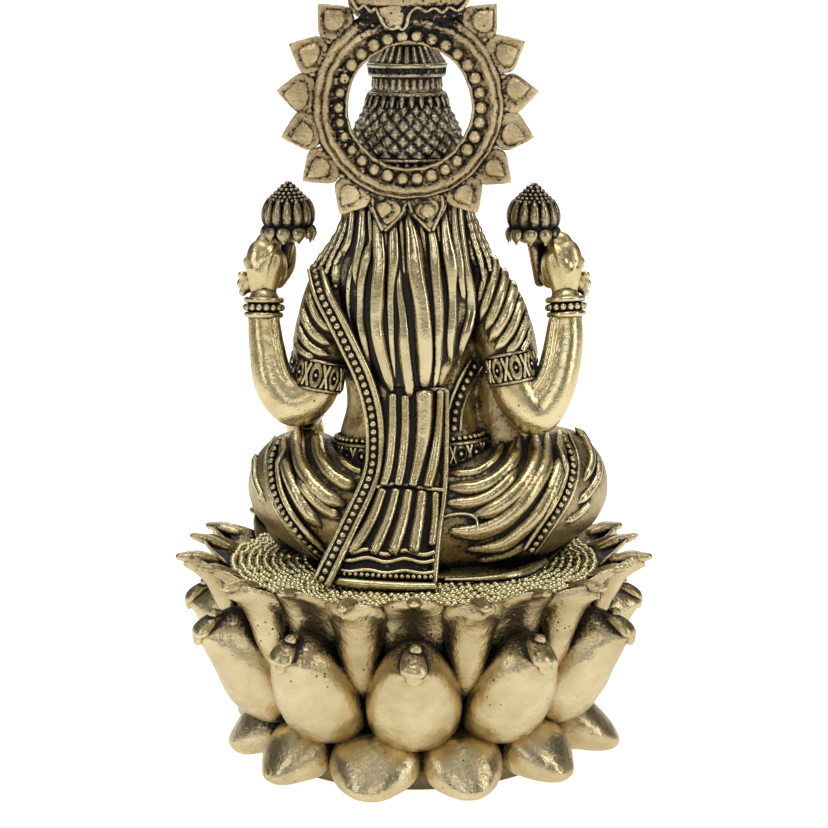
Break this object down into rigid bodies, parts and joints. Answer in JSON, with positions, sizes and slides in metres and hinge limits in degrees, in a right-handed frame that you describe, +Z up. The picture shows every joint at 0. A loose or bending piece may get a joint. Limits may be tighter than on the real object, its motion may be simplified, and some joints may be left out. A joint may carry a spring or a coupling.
{
  "type": "seated goddess figurine",
  "caption": "Cast brass figurine of a seated goddess holding lotus buds, on a lotus plinth, with a rayed ring halo standing behind the crown.",
  "frame": {"origin": "centre of the plinth's flat underside, on the surface that the figure stands on", "axes": "+Z up; the goddess faces -Y, and her left hand side is +X"},
  "size_m": [0.0618, 0.0611, 0.1064],
  "materials": {
    "plinth_brass": "antique cast brass, polished on the high places and dark in the recesses, with casting pits",
    "figure_brass": "antique cast brass, polished ridges over a near-black patina",
    "halo_brass": "antique cast brass, duller and paler than the figure, pitted"
  },
  "bodies": {
    "root": {"lotus_plinth": "plinth_brass", "lakshmi_figure": "figure_brass", "halo": "halo_brass"}
  },
  "joints": []
}
